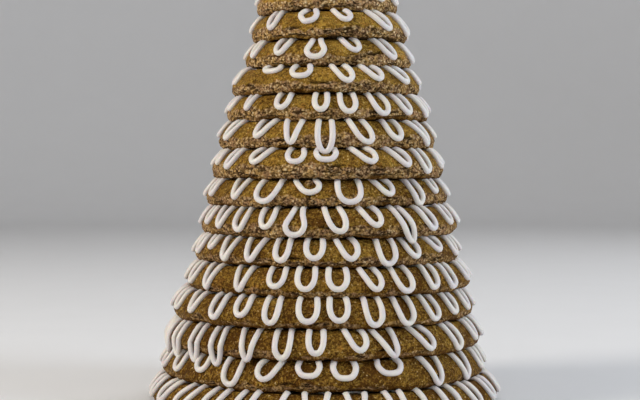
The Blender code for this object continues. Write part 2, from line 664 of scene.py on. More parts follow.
@dataclass
class AlmondRing:
    """One baked ring, as a band of dough round the cake's axis. Lengths are millimetres.

    A reach is a length along the cross-section, from the crest's middle outwards and down.

    Attributes:
        number: its place in the stack, from the top.
        torn_share: how torn its side is, from 0 to 1.
        toasted: how browned it is, from 0 to 1.
        grain_step: how far apart the mesh's points are round the cake.
        skin_step: how far apart they are down the side that shows.
        hidden_step: how far apart they are on the foot and in the hole.
        settle: how far its crest rises past its solid's top, to meet the ring above.
        proud: how far the solid of its icing stands out past its side.
        bead_room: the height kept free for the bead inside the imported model's box.
    """

    number: int
    torn_share: float
    toasted: float
    grain_step: float = 0.96
    skin_step: float = 0.64
    hidden_step: float = 3.6
    settle: float = 0.32
    proud: float = 2.7
    bead_room: float = 2.6
    centre: np.ndarray = field(init=False)
    radius: float = field(init=False)
    rise: float = field(init=False)
    relief: Relief = field(init=False)
    curve: np.ndarray = field(init=False)
    reach: np.ndarray = field(init=False)
    edge_reach: float = field(init=False)
    belly_reach: float = field(init=False)
    lip_reach: float = field(init=False)
    hole_reach: float = field(init=False)

    # (inset from the outer radius, share of the rise) round the cross-section, from the crest's
    # middle out over the sloping shoulder, down the side, under the lip and up the hole's side.
    SECTION = (
        (11.5, 1.000), (8.6, 1.000), (6.6, 0.925), (4.5, 0.800), (2.6, 0.655), (1.0, 0.500),
        (0.1, 0.360), (0.3, 0.220), (1.2, 0.075), (3.2, 0.004), (7.5, 0.0), (13.0, 0.0),
        (16.8, 0.010), (19.2, 0.130), (20.0, 0.360), (19.2, 0.640), (17.2, 0.860), (14.4, 1.000),
    )
    # Which of those points are the crest's edge, the belly, the lip's end and the hole's foot.
    EDGE, BELLY, LIP, HOLE = 1, 6, 9, 12
    CURVE_STEPS = 24
    SLOPE_STEP = 0.4

    # A place times LEVEL has no height, so that a layer read there is the same all the way down.
    LEVEL = (1.0, 1.0, 0.0)
    SWELL = (Layer(34.0, 0.75), Layer(13.0, 0.42, 51.0))
    TORN_EDGE = (Layer(15.0, 3.6, 90.0), Layer(4.5, 1.8, 11.0))
    FOOT_EDGE = Layer(12.0, 1.6, 44.0)
    FOOTED = Layer(24.0, 1.0, 61.0)
    SKIN = (Layer(4.2, 0.22, 31.0), Layer(1.9, 0.13))
    CRUMBS = (Layer(2.7, 0.46), Layer(1.6, 0.34, 7.0))
    SPLITS = Layer((8.0, 8.0, 2.2), 1.0, 23.0)
    CRACKED = Layer(13.0, 1.0, 67.0)
    SEAMED = Layer(7.0, 1.0, 9.0)
    HOLES = Layer((2.6, 2.6, 2.0), 1.0, 40.0)
    DIMPLES = Layer(2.1, 1.0, 15.0)
    SHADE_EDGE = Layer(9.0, 1.6, 29.0)
    BROWNING = (Layer(22.0, 0.28, 77.0), Layer(6.0, 0.20, 3.0))
    TEAR_WANDER = Layer(3.2, 0.8, 3.0)
    LIP_LIFT = (Layer(15.0, 1.3, 19.0), Layer(5.0, 0.6))

    # How far the lip stands up off the ring below, on the whole and at most.
    MEAN_LIFT, MOST_LIFT = 0.60, 2.2
    # How deep cracks, holes and dimples are, and how far the torn band lies inside the skin.
    CRACK_DEPTH, HOLE_DEPTH, DIMPLE_DEPTH, CRUMB_DROP = 1.15, 0.75, 0.35, 0.30
    # How dark the painted shade under a lip is, and how much browner its foot is baked.
    SHADED, FOOT_BROWNING = 0.85, 0.40

    def __post_init__(self) -> None:
        """Reads the ring's place and size from the frame and draws its cross-section."""
        low, high = (np.array(corner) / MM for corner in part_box(self.node))
        iced_low, iced_high = (np.array(corner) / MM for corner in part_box(self.icing_node))
        self.centre = np.array([*((low + high) / 2.0)[:2], low[2]])
        self.radius = float(min((iced_high - iced_low)[:2])) / 2.0 - self.proud
        room = CAD_HIGH[2] / MM - self.bead_room - low[2]
        self.rise = float(min(high[2] - low[2] + self.settle, room))
        self.relief = Relief(self.number)
        corners = np.array(self.SECTION) * (1.0, self.rise)
        self.curve = smooth_through(corners, self.CURVE_STEPS, closed=True)
        self.curve[:, 1] = np.clip(self.curve[:, 1], 0.0, self.rise)
        around = np.roll(self.curve, -1, axis=0) - self.curve
        self.reach = np.concatenate([[0.0], np.cumsum(np.linalg.norm(around, axis=1))])
        marks = (self.EDGE, self.BELLY, self.LIP, self.HOLE)
        self.edge_reach, self.belly_reach, self.lip_reach, self.hole_reach = (
            float(self.reach[mark * self.CURVE_STEPS]) for mark in marks
        )

    @property
    def node(self) -> str:
        """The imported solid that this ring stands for."""
        return f"ring_{self.number:02d}"

    @property
    def icing_node(self) -> str:
        """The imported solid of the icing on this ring."""
        return f"icing_{self.number:02d}"

    def profile(self, reach: np.ndarray) -> tuple[np.ndarray, np.ndarray, np.ndarray, np.ndarray]:
        """The cross-section at some reach from the crest's middle, outwards and down.

        Args:
            reach: the lengths along the cross-section.

        Returns:
            The inset, the height, and the outward normal's radial and upward parts.
        """
        inset, height = self.outline(reach)
        (inset_ahead, height_ahead), (inset_behind, height_behind) = (
            self.outline(reach + step) for step in (self.SLOPE_STEP, -self.SLOPE_STEP)
        )
        run, climb = inset_ahead - inset_behind, height_ahead - height_behind
        length = np.maximum(np.hypot(run, climb), 1e-9)
        return inset, height, -climb / length, -run / length

    def outline(self, reach: np.ndarray) -> tuple[np.ndarray, np.ndarray]:
        """The cross-section's line.

        Args:
            reach: the lengths along the cross-section, which may pass all the way round.

        Returns:
            The inset and the height there.
        """
        closed = np.concatenate([self.curve, self.curve[:1]])
        lap = self.reach[-1]
        return tuple(np.interp(reach % lap, self.reach, column) for column in closed.T)

    def swell(self, places: np.ndarray) -> np.ndarray:
        """How far the rolled dough stands out from its even shape, along the normal."""
        return self.relief.layered(places, *self.SWELL)

    def spread(self, angle: np.ndarray, inset: np.ndarray, height: np.ndarray) -> np.ndarray:
        """Turns places on the ring into points in the frame.

        Args:
            angle: angles round the cake, counted from the front towards +X.
            inset: how far inside the outer radius.
            height: how far above the ring's foot.

        Returns:
            The points, one row each.
        """
        radius = self.radius - inset
        return self.centre + np.stack(
            [radius * np.sin(angle), -radius * np.cos(angle), height], axis=-1
        )

    def surface(self, angle: np.ndarray, reach: np.ndarray) -> tuple[np.ndarray, np.ndarray]:
        """The dough's even surface with its swell.

        Args:
            angle: angles round the cake.
            reach: lengths along the cross-section, as many.

        Returns:
            The points and their outward normals, one row each.
        """
        inset, height, out, up = self.profile(reach)
        points = self.spread(angle, inset, height)
        normals = np.stack([out * np.sin(angle), -out * np.cos(angle), up], axis=-1)
        share = soft_step(reach, 0.0, self.edge_reach * 2.4)
        share = share * (1.0 - soft_step(reach, self.lip_reach - 1.5, self.lip_reach + 1.5))
        return points + normals * (self.swell(points) * share)[:, None], normals

    def stations(self) -> np.ndarray:
        """Where round the cross-section the mesh has its points, close only where it shows.

        Returns:
            Their reaches, in order.
        """
        start = self.edge_reach * 0.6
        end = self.lip_reach + 1.5
        fine = np.linspace(start, end, round((end - start) / self.skin_step))
        rest = self.reach[-1] - end + start
        coarse = end + np.linspace(0.0, rest, round(rest / self.hidden_step) + 1)[1:-1]
        return np.sort(np.concatenate([fine, coarse % self.reach[-1]]))

    def build(self) -> bpy.types.Object:
        """Makes the ring's mesh, with its cracks, crumbs and ragged lip.

        Returns:
            The ring's object, which carries torn and toast values for its finish, and the painted
            shade of its cracks, holes, tears and lips.
        """
        reach = self.stations()
        count = round(math.tau * self.radius / self.grain_step)
        angle = np.arange(count) * math.tau / count
        angles, reaches = (a.ravel() for a in np.meshgrid(angle, reach, indexing="ij"))
        points, normals = self.surface(angles, reaches)
        points[:, 2] += self.ragged_lip(points, reaches)
        relief, torn, painted_shade, toast = self.skin(points, reaches)
        gape, tear_shade = self.tears(angles, reaches, points)
        relief = relief - gape
        # A stray crumb counts as torn dough and takes no painted shade.
        stray = soft_step(-gape, 0.3, 1.0)
        torn, painted_shade = np.maximum(torn, stray), painted_shade * (1.0 - stray)
        points = points + normals * relief[:, None]
        points[:, 2] = np.clip(points[:, 2], self.centre[2], self.centre[2] + self.rise)
        grid = points.reshape(count, len(reach), 3)
        # The painted shade of cracks, holes and lips joins the painted shade inside the tears.
        painted = {"torn": torn, "painted_shade": np.maximum(painted_shade, tear_shade), "toast": toast}
        return round_grid(f"almond_{self.node}", grid, painted)

    def skin(self, places: np.ndarray, reach: np.ndarray) -> tuple[np.ndarray, ...]:
        """The fine relief and what the finish reads.

        Args:
            places: points on the dough.
            reach: their lengths along the cross-section.

        Returns:
            The relief along the normal, the torn value, the painted shade of cracks, holes, dimples
            and lips, and the toast value.
        """
        read = self.relief.layered
        foot, footed = self.foot_line(places)
        torn = self.torn_band(places, reach, foot, footed)
        crack = self.cracks(places, reach, foot, footed, torn)
        holes = soft_step(read(places, self.HOLES), 0.42, 0.66) * torn
        dimple = soft_step(read(places, self.DIMPLES), 0.62, 0.80) * (1.0 - torn) * 0.6

        relief = read(places, *self.SKIN) * (1.0 - torn)
        relief = relief + (read(places, *self.CRUMBS) - self.CRUMB_DROP) * torn
        relief = relief - crack * self.CRACK_DEPTH - holes * self.HOLE_DEPTH
        relief = relief - dimple * self.DIMPLE_DEPTH
        shown = soft_step(reach, 0.0, self.edge_reach * 1.6)
        shown = shown * (1.0 - soft_step(reach, self.lip_reach, self.lip_reach + 4.0))
        # Painted shade: cracks, holes and dimples are darkened where they sink in, and so is the
        # dough under the lips.
        painted_shade = np.clip(crack * 0.85 + holes * 0.75 + dimple * 0.5, 0.0, 1.0) * shown
        painted_shade = np.maximum(painted_shade, self.shade(places, reach))
        toast = self.toasted + read(places, *self.BROWNING)
        toast = toast + soft_step(reach, foot - 0.3, foot + 1.2) * footed * self.FOOT_BROWNING
        return relief * shown, torn, painted_shade, np.clip(toast, 0.0, 1.0)

    def foot_line(self, places: np.ndarray) -> tuple[np.ndarray, np.ndarray]:
        """Where the smooth, browned foot starts below the torn band.

        Args:
            places: points on the dough.

        Returns:
            The foot's reach, and how clearly it stands apart there, from 0 to 1.
        """
        level = places * self.LEVEL
        foot = self.lip_reach - 3.4 + self.relief.layered(level, self.FOOT_EDGE)
        footed = soft_step(self.relief.layered(level, self.FOOTED), -0.05, 0.25)
        return foot, np.maximum(footed, 1.0 - self.torn_share)

    def torn_band(
        self, places: np.ndarray, reach: np.ndarray, foot: np.ndarray, footed: np.ndarray
    ) -> np.ndarray:
        """How torn the dough is. The torn band starts lower on a ring that tore less.

        Args:
            places: points on the dough.
            reach: their lengths along the cross-section.
            foot: the reach at which the foot starts.
            footed: how clearly the foot stands apart.

        Returns:
            A value from 0 on the skin to 1 in the torn band.
        """
        edge = self.belly_reach - 1.5 + self.relief.layered(places, *self.TORN_EDGE)
        edge = edge + (0.9 - self.torn_share) * 5.0
        torn = soft_step(reach, edge - 1.2, edge + 1.2)
        torn = torn * (1.0 - soft_step(reach, foot - 0.2, foot + 1.0) * footed * 0.8)
        return torn * (1.0 - soft_step(reach, self.hole_reach, self.hole_reach + 5.0))

    def cracks(
        self,
        places: np.ndarray,
        reach: np.ndarray,
        foot: np.ndarray,
        footed: np.ndarray,
        torn: np.ndarray,
    ) -> np.ndarray:
        """The fine cracks in the torn band, and the seam along the top of the foot.

        Args:
            places: points on the dough.
            reach: their lengths along the cross-section.
            foot: the reach at which the foot starts.
            footed: how clearly the foot stands apart.
            torn: how torn the dough is.

        Returns:
            A value from 0 to 1 in the middle of a crack.
        """
        read = self.relief.layered
        split = np.abs(read(places, self.SPLITS))
        where = soft_step(read(places, self.CRACKED), -0.10, 0.35)
        crack = (1.0 - soft_step(split, 0.02, 0.13)) * where * torn
        seam = 1.0 - soft_step(np.abs(reach - foot), 0.25, 0.95)
        seam = seam * footed * self.torn_share
        return np.maximum(crack, seam * soft_step(read(places, self.SEAMED), -0.15, 0.2))

    def shade(self, places: np.ndarray, reach: np.ndarray) -> np.ndarray:
        """The painted shade under the ring's own lip, and under the lip of the ring above.

        Args:
            places: points on the dough.
            reach: their lengths along the cross-section.

        Returns:
            How dark each point is, from 0 to 1.
        """
        under = soft_step(reach, self.lip_reach - 1.0, self.lip_reach + 0.8)
        dark = under * (1.0 - soft_step(reach, self.hole_reach - 2.0, self.hole_reach))
        # Painted shade on the crest, under the ring above and just past its edge.
        if self.number > 1:
            edge = self.relief.layered(places * self.LEVEL, self.SHADE_EDGE)
            edge = self.edge_reach + 0.35 + edge
            dark = np.maximum(dark, 1.0 - soft_step(reach, edge - 0.9, edge + 0.9))
        return dark * self.SHADED

    def tears(
        self, angle: np.ndarray, reach: np.ndarray, places: np.ndarray
    ) -> tuple[np.ndarray, np.ndarray]:
        """The ring's few large tears and stray crumbs.

        Args:
            angle: angles round the cake.
            reach: lengths along the cross-section.
            places: the points themselves.

        Returns:
            How deep each point sinks, negative under a crumb, and how dark the painted shade inside
            a tear is there.
        """
        depth, dark = np.zeros(len(angle)), np.zeros(len(angle))
        wander = self.relief.layered(places, self.TEAR_WANDER)
        for tear in TEARS.get(self.number, ()):
            along = (angle - math.radians(tear.angle) + math.pi) % math.tau - math.pi
            along = along * self.radius
            down = reach - self.edge_reach - tear.down
            turn = math.radians(tear.slant)
            run = along * math.cos(turn) + down * math.sin(turn)
            off = down * math.cos(turn) - along * math.sin(turn) + wander
            inside = (run / (tear.length / 2.0)) ** 2 + (off / (tear.width / 2.0)) ** 2
            hollow = 1.0 - soft_step(inside, 0.1, 1.25)
            depth = depth + hollow * tear.depth
            # Painted shade inside a tear's hollow.
            if tear.depth > 0.0:
                dark = np.maximum(dark, hollow)
        return depth, dark

    def ragged_lip(self, places: np.ndarray, reach: np.ndarray) -> np.ndarray:
        """How far the lip's torn edge stands up off the ring below.

        Args:
            places: points on the dough.
            reach: their lengths along the cross-section.

        Returns:
            How far each point is lifted.
        """
        near = soft_step(reach, self.belly_reach + 1.0, self.lip_reach - 1.0)
        near = near * (1.0 - soft_step(reach, self.lip_reach + 1.5, self.lip_reach + 4.5))
        lift = self.MEAN_LIFT + self.relief.layered(places * self.LEVEL, *self.LIP_LIFT)
        return near * np.clip(lift, 0.0, self.MOST_LIFT)


# ---------------------------------------------------------------------------- the piped icing


LoopLine = tuple[tuple[float, float], ...]


def flipped(line: LoopLine) -> LoopLine:
    """A loop's middle line, left for right."""
    return tuple((-share, depth) for share, depth in reversed(line))


class LoopStyle(Enum):
    """How a piped loop hangs: its middle line as (share of its width, share of its fall)."""

    ROUND = (
        (-0.46, 0.0), (-0.50, 0.40), (-0.42, 0.76), (-0.17, 1.0),
        (0.17, 1.0), (0.42, 0.76), (0.50, 0.40), (0.46, 0.0),
    )
    SQUARE = (
        (-0.48, 0.0), (-0.50, 0.45), (-0.38, 0.92), (0.0, 1.0),
        (0.38, 0.92), (0.50, 0.45), (0.48, 0.0),
    )
    VEE = (
        (-0.54, 0.0), (-0.38, 0.42), (-0.20, 0.84), (0.0, 1.0),
        (0.20, 0.84), (0.38, 0.42), (0.54, 0.0),
    )
    PEAR = (
        (-0.22, 0.0), (-0.32, 0.30), (-0.50, 0.68), (-0.24, 0.98),
        (0.24, 0.98), (0.50, 0.68), (0.32, 0.30), (0.22, 0.0),
    )
    BOWL = (
        (-0.44, 0.0), (-0.54, 0.45), (-0.34, 0.90), (0.0, 1.0),
        (0.34, 0.90), (0.54, 0.45), (0.44, 0.0),
    )
    HOOK_RIGHT = (
        (-0.56, 0.0), (-0.34, 0.45), (-0.06, 0.88), (0.26, 1.0),
        (0.56, 0.74), (0.58, 0.34), (0.36, 0.0),
    )
    HOOK_LEFT = flipped(HOOK_RIGHT)
    STRAY = (
        (-0.30, 0.0), (-0.56, 0.40), (-0.34, 0.80), (-0.10, 1.0),
        (0.34, 0.86), (0.50, 0.40), (0.30, 0.0),
    )


ROUND, SQUARE, VEE, PEAR, BOWL, HOOK_RIGHT, HOOK_LEFT, STRAY = LoopStyle

# The loops at the front of each ring from the fourth down: angle, hang, width, style and lean, as
# in PipedLoop. The rest of each bead is piped by rule.
FRONT_LOOPS = {
    4: (
        (-86, 10.0, 7.9, ROUND), (-58, 8.0, 7.9, ROUND), (-30, 6.0, 9.9, BOWL),
        (-4, 6.0, 8.9, BOWL), (22, 6.5, 7.9, BOWL), (48, 10.0, 6.9, ROUND),
        (70, 11.0, 6.9, ROUND), (92, 9.0, 7.9, ROUND),
    ),
    5: (
        (-90, 10.0, 7.9, ROUND), (-47, 10.6, 5.9, ROUND), (-17, 8.5, 9.9, STRAY, -0.5),
        (9, 7.4, 8.6, HOOK_RIGHT, 1.0), (45.5, 10.9, 7.5, ROUND, 8.5),
        (72, 12.5, 7.4, ROUND, 4.5),
    ),
    6: (
        (-92, 9.5, 6.9, ROUND), (-62, 10.0, 4.7, ROUND), (-34, 9.6, 7.9, HOOK_LEFT),
        (-9, 12.0, 10.3, PEAR), (16, 8.4, 8.9, HOOK_RIGHT, 1.0), (48, 11.3, 7.0, ROUND, 7.0),
        (78, 12.0, 8.4, ROUND, 4.0),
    ),
    7: (
        (-98, 9.0, 7.9, ROUND), (-72, 9.0, 5.9, ROUND), (-38, 4.2, 11.9, BOWL),
        (-16, 7.4, 10.9, BOWL), (10.5, 9.9, 9.3, HOOK_RIGHT, 1.6),
        (31, 8.6, 8.9, HOOK_RIGHT, 2.5), (54, 9.6, 9.0, HOOK_RIGHT, 4.5),
        (80, 9.0, 6.9, ROUND),
    ),
    8: (
        (-94, 9.5, 7.9, ROUND), (-71, 9.0, 5.9, ROUND), (-50, 9.6, 4.9, VEE),
        (-26, 9.4, 7.9, ROUND), (-4, 10.5, 7.5, ROUND), (11, 11.3, 9.2, ROUND),
        (31, 12.2, 8.9, ROUND, 2.4), (49, 11.4, 7.4, ROUND, 4.0),
        (68, 12.4, 4.9, ROUND, 3.5),
    ),
    9: (
        (-84, 9.0, 7.9, ROUND), (-62.5, 11.0, 7.0, ROUND, -5.0), (-38, 10.4, 9.4, VEE, -5.0),
        (-18, 13.8, 9.3, VEE), (-1, 18.6, 8.4, ROUND), (20.5, 13.2, 9.5, ROUND, 5.5),
        (38, 11.3, 8.9, ROUND, 2.0), (62, 14.5, 8.3, VEE, 8.0), (84, 9.5, 7.9, ROUND),
    ),
    10: (
        (-89, 9.5, 7.9, ROUND), (-70, 9.0, 5.9, ROUND), (-55.5, 11.4, 5.7, ROUND, -4.0),
        (-36.5, 8.8, 9.0, HOOK_LEFT, -3.5), (-16, 8.6, 9.3, BOWL), (-1, 7.6, 10.9, BOWL),
        (19, 8.8, 10.4, HOOK_RIGHT, 3.0), (39, 10.5, 9.0, HOOK_RIGHT, 4.5),
        (54.5, 13.6, 7.4, ROUND, 2.0), (74, 11.0, 6.0, ROUND), (93, 9.5, 7.9, ROUND),
    ),
    11: (
        (-87, 10.6, 9.0, ROUND), (-69, 10.1, 7.0, ROUND), (-46, 11.6, 9.4, VEE, -1.0),
        (-29.2, 13.2, 12.8, ROUND, -3.0), (-9.9, 8.6, 13.0, HOOK_RIGHT),
        (10.3, 13.4, 13.4, ROUND, 0.3), (28, 9.6, 8.8, HOOK_RIGHT, 2.0),
        (47, 14.6, 7.5, ROUND, 2.5), (63, 8.4, 7.0, ROUND), (81, 10.6, 9.0, ROUND),
    ),
    12: (
        (-85, 11.1, 9.0, ROUND), (-68, 10.6, 7.6, ROUND), (-55, 12.4, 8.4, VEE),
        (-42, 13.4, 8.0, ROUND), (-28, 11.7, 8.0, ROUND), (-15, 15.8, 10.8, PEAR, -1.0),
        (3.8, 13.6, 9.8, ROUND, 4.6), (18, 11.0, 9.6, HOOK_RIGHT, 2.0),
        (36.5, 19.4, 6.2, ROUND, 7.6), (49, 13.0, 7.5, ROUND, 5.0), (65, 10.6, 8.0, ROUND),
        (82, 10.6, 9.0, ROUND),
    ),
    13: (
        (-88, 11.1, 9.0, ROUND), (-72, 10.6, 7.6, ROUND), (-60, 7.8, 5.8, ROUND),
        (-47, 13.4, 9.4, VEE), (-33.2, 13.2, 10.6, VEE, -1.6), (-19, 12.6, 8.0, ROUND),
        (-5.4, 11.4, 9.6, ROUND), (7.8, 12.0, 10.4, HOOK_RIGHT, 0.4), (25, 14.8, 10.4, ROUND),
        (38.5, 11.3, 8.0, ROUND, 2.5), (53.5, 9.0, 9.0, HOOK_RIGHT, 1.0), (70, 11.6, 8.0, ROUND),
    ),
    14: (
        (-85, 11.1, 9.0, ROUND), (-69, 11.6, 8.0, ROUND), (-54, 14.0, 9.4, VEE),
        (-36, 13.6, 9.4, VEE), (-20.6, 10.9, 9.4, ROUND), (-8.8, 11.9, 10.0, ROUND),
        (3.2, 11.9, 10.6, ROUND), (16.4, 12.4, 9.6, HOOK_RIGHT, 1.0),
        (30.4, 13.6, 10.0, ROUND, 2.2), (44, 12.6, 8.0, ROUND), (56.5, 13.2, 8.0, ROUND, 1.0),
        (73, 10.6, 8.0, ROUND),
    ),
    15: (
        (-86, 11.1, 9.0, ROUND), (-71, 11.1, 8.0, ROUND), (-57, 11.4, 9.0, VEE),
        (-42, 12.8, 8.0, ROUND), (-30.6, 11.0, 8.0, ROUND), (-18.6, 14.0, 8.0, ROUND),
        (-5.4, 12.9, 10.6, ROUND), (5.6, 12.4, 10.2, ROUND), (18.4, 15.1, 9.4, ROUND, 0.4),
        (31.4, 15.2, 10.0, ROUND, 1.5), (44.5, 13.9, 8.0, ROUND, 2.5), (57.5, 11.8, 8.0, ROUND, 2.0),
        (71, 11.1, 8.0, ROUND), (86, 11.1, 9.0, ROUND),
    ),
    16: (
        (-89, 17.6, 7.2, ROUND), (-75, 19.6, 7.2, ROUND), (-64, 20.2, 7.2, ROUND),
        (-51, 20.8, 7.2, ROUND), (-39.6, 21.2, 7.2, ROUND), (-26.6, 17.9, 9.6, VEE),
        (-14, 15.6, 8.6, ROUND), (-2.6, 12.9, 8.4, ROUND),
        (10.8, 11.9, 10.3, HOOK_RIGHT, 0.3), (24.4, 15.5, 11.0, VEE, 6.0),
        (38, 13.0, 8.8, HOOK_RIGHT, 4.0), (54.5, 14.8, 8.0, ROUND, 4.5), (69, 11.6, 8.0, ROUND),
        (83, 11.6, 9.0, ROUND),
    ),
    17: (
        (-87, 11.6, 9.0, ROUND), (-73, 11.6, 8.0, ROUND), (-60, 11.4, 9.0, ROUND),
        (-46, 9.6, 9.0, ROUND), (-32, 14.8, 10.4, ROUND, -1.0), (-18.4, 11.4, 11.4, HOOK_LEFT, -1.0),
        (-5, 9.2, 11.4, BOWL), (7, 10.2, 12.0, BOWL), (23, 8.8, 13, BOWL, 1.0),
        (41, 16.0, 11, VEE, 3.0), (57.5, 15.8, 10.4, VEE, 2.0), (72, 12.1, 8.0, ROUND),
        (86, 11.6, 9.0, ROUND),
    ),
    18: (
        (-88, 11.6, 9.0, ROUND), (-76, 12.1, 9.0, ROUND, -4.0),
        (-64, 12.3, 9.0, ROUND, -8.0), (-52, 13.2, 10.0, ROUND, -9.0),
        (-39.5, 13.2, 10.0, ROUND, -8.0), (-27, 13.0, 9.0, ROUND, -5.0),
        (-10, 11.2, 12.0, BOWL, -1.0), (4, 11.2, 12.0, BOWL), (17, 11.4, 14.0, BOWL, 1.0),
        (30, 12.2, 13.0, ROUND, 3.0), (45, 13.2, 10.6, ROUND, 5.0),
        (57.5, 12.8, 9.0, ROUND, 6.0), (70, 12.1, 8.0, ROUND, 4.0), (84, 11.6, 9.0, ROUND),
    ),
}


@dataclass(frozen=True)
class PipedLoop:
    """One loop of the bead. It hangs at an angle in degrees, counted from the front towards +X.

    Its hang is how far its edge comes below the ring above, its width is that of its middle
    line, and its lean is how far its mouth is to the left of its tip. All are millimetres.
    """

    angle: float
    hang: float
    width: float
    style: LoopStyle
    lean: float = 0.0

    # How far an arm runs under the ring above, the least fall, and how the lean fades downwards.
    ARM_END = 2.6
    LEAST_FALL = 0.9
    LEAN_POWER = 0.8

    def turns(self, half_bead: float) -> list[tuple[float, float]]:
        """The loop's middle line, from one end to the other.

        Args:
            half_bead: half the bead's thickness.

        Returns:
            (sideways, fall) at each of its points.
        """
        fall = max(self.hang - half_bead, self.LEAST_FALL)
        line = [
            (share * self.width - self.lean * (1.0 - depth**self.LEAN_POWER), depth * fall)
            for share, depth in self.style.value
        ]
        first, last = line[0][0], line[-1][0]
        return [(first, -self.ARM_END), *line, (last, -self.ARM_END)]


@dataclass
class PipedIcing:
    """The bead of royal icing on one ring: a zigzag piped all the way round.

    The inner turns of a covered bead are pressed under the ring above. An open bead shows them,
    so its mesh is finer. Lengths are millimetres.

    Attributes:
        ring: the ring that it is piped on.
        covered: whether a ring lies on its inner turns.
        spacing: how far apart the loops are that are piped by rule.
        thickness: how thick it is.
        tuck: how far its inner turns go in past the crest's edge.
        sides: how many points go round its section.
        curve_steps: how many points its curve gets for each of its route's points.
    """

    ring: AlmondRing
    covered: bool
    spacing: float = 23.0
    thickness: float = 3.3
    tuck: float = 6.4
    sides: int = field(init=False)
    curve_steps: int = field(init=False)

    COVERED_MESH = (9, 3)
    OPEN_MESH = (14, 8)
    TURN_STEPS = 6
    # What the loops that are piped by rule are drawn from.
    SEED = 500
    COMMON = (ROUND, ROUND, VEE, SQUARE, HOOK_LEFT, HOOK_RIGHT, BOWL, STRAY)
    STEP_PLAY = 0.14
    WIDTHS = (5.5, 9.5)
    HANGS = (8.5, 13.5)
    LEAN = 1.0
    # The bead's height and width where it is pressed and where it is free, against its thickness,
    # and how far it stands off the dough, against its height.
    PRESSED = (0.34, 1.12)
    FREE = (0.92, 1.02)
    STAND_OFF = 0.62
    # How far a bead that hangs past the belly comes in, against how far it hangs past it.
    COME_IN = 0.10
    UNEVEN = (Layer(8.0, 0.07, 5.0), Layer(3.5, 0.03))

    def __post_init__(self) -> None:
        """Sets how fine the bead's mesh is."""
        self.sides, self.curve_steps = self.COVERED_MESH if self.covered else self.OPEN_MESH

    def loops(self) -> Iterator[PipedLoop]:
        """Makes the ring's loops: those at the front, then the rest by rule.

        Yields:
            Each loop, in order of angle.
        """
        rng = np.random.default_rng(self.SEED + self.ring.number)
        front = [PipedLoop(*row) for row in FRONT_LOOPS.get(self.ring.number, ())]
        yield from front
        pitch = math.degrees(self.spacing / self.ring.radius)
        start = front[-1].angle if front else rng.uniform(0.0, pitch)
        room = (front[0].angle if front else start) + 360.0 - start
        count = max(round(room / pitch), 1)
        for index in range(1 if front else 0, count):
            play = rng.uniform(-self.STEP_PLAY, self.STEP_PLAY)
            style = self.COMMON[rng.integers(len(self.COMMON))]
            width, hang = rng.uniform(*self.WIDTHS), rng.uniform(*self.HANGS)
            lean = rng.normal(0.0, self.LEAN)
            yield PipedLoop(start + room * (index + play) / count, hang, width, style, lean)

    def inner_turn(self, start: np.ndarray, end: np.ndarray) -> np.ndarray:
        """The half-ellipse on the crest that joins two loops.

        Args:
            start: (angle, fall) where the first loop ends.
            end: (angle, fall) where the second one starts.

        Returns:
            (angle, fall) at each point between.
        """
        turned = math.pi * np.arange(1, self.TURN_STEPS) / self.TURN_STEPS
        angle = start[0] + (end[0] - start[0]) * (1.0 - np.cos(turned)) / 2.0
        fall = start[1] - (self.tuck - PipedLoop.ARM_END) * np.sin(turned)
        return np.stack([angle, fall], axis=1)

    def route(self) -> np.ndarray:
        """The bead's middle line, all the way round.

        Returns:
            (angle, fall) at each of its points.
        """
        lines = []
        for loop in self.loops():
            turns = np.array(loop.turns(self.thickness / 2.0)) / (self.ring.radius, 1.0)
            lines.append(turns + (math.radians(loop.angle), 0.0))
        lap = np.array([math.tau, 0.0])
        route = []
        for line, following in zip(lines, [*lines[1:], lines[0] + lap]):
            route += [line, self.inner_turn(line[-1], following[0])]
        route = np.concatenate(route)
        padded = np.concatenate([route[-1:] - lap, route, route[:2] + lap])
        curve = smooth_through(padded, self.curve_steps, closed=False)
        return curve[self.curve_steps : (len(route) + 1) * self.curve_steps]

    def hung(self, angle: np.ndarray, fall: np.ndarray) -> tuple[np.ndarray, np.ndarray]:
        """Lays the bead's middle on the dough, and lets it hang free past the belly.

        Args:
            angle: angles round the cake.
            fall: how far below the crest's edge, or under the next ring where negative.

        Returns:
            Points on the dough or in the air below the belly, and their outward normals.
        """
        ring = self.ring
        side = slice(ring.EDGE * ring.CURVE_STEPS, ring.BELLY * ring.CURVE_STEPS + 1)
        heights = ring.curve[side, 1]
        height = heights[0] - fall
        reach = np.interp(-height, -heights, ring.reach[side])
        reach = np.where(fall < 0.0, ring.edge_reach + fall, reach)
        points, normals = ring.surface(angle, reach)
        below = np.maximum(heights[-1] - height, 0.0)
        points[:, 2] -= below
        inwards = self.COME_IN * below
        points[:, 0] -= inwards * np.sin(angle)
        points[:, 1] += inwards * np.cos(angle)
        return points, normals

    def build(self) -> bpy.types.Object:
        """Sweeps the bead's rounded section along its route.

        Returns:
            The bead's object.
        """
        route = self.route()
        angle, fall = route[:, 0], route[:, 1]
        points, normals = self.hung(angle, fall)
        uneven = self.ring.relief.layered(points, *self.UNEVEN)
        radius = self.thickness / 2.0 * (1.0 + uneven)
        free = soft_step(fall, -1.8, 0.8) if self.covered else np.ones(len(fall))
        tall, wide = (
            radius * (low + (high - low) * free) for low, high in zip(self.PRESSED, self.FREE)
        )
        middle = points + normals * (tall * self.STAND_OFF)[:, None]
        tangent = np.roll(middle, -1, axis=0) - np.roll(middle, 1, axis=0)
        tangent /= np.linalg.norm(tangent, axis=1, keepdims=True)
        side = np.cross(tangent, normals)
        side /= np.linalg.norm(side, axis=1, keepdims=True)
        up = np.cross(side, tangent)
        turn = np.arange(self.sides) * math.tau / self.sides + math.pi / 2.0
        across = side[:, None, :] * (wide[:, None] * np.cos(turn))[..., None]
        above = up[:, None, :] * (tall[:, None] * np.sin(turn))[..., None]
        grid = middle[:, None, :] + across + above
        return round_grid(f"piped_{self.ring.icing_node}", grid, {})


# ---------------------------------------------------------------------------- the whole cake


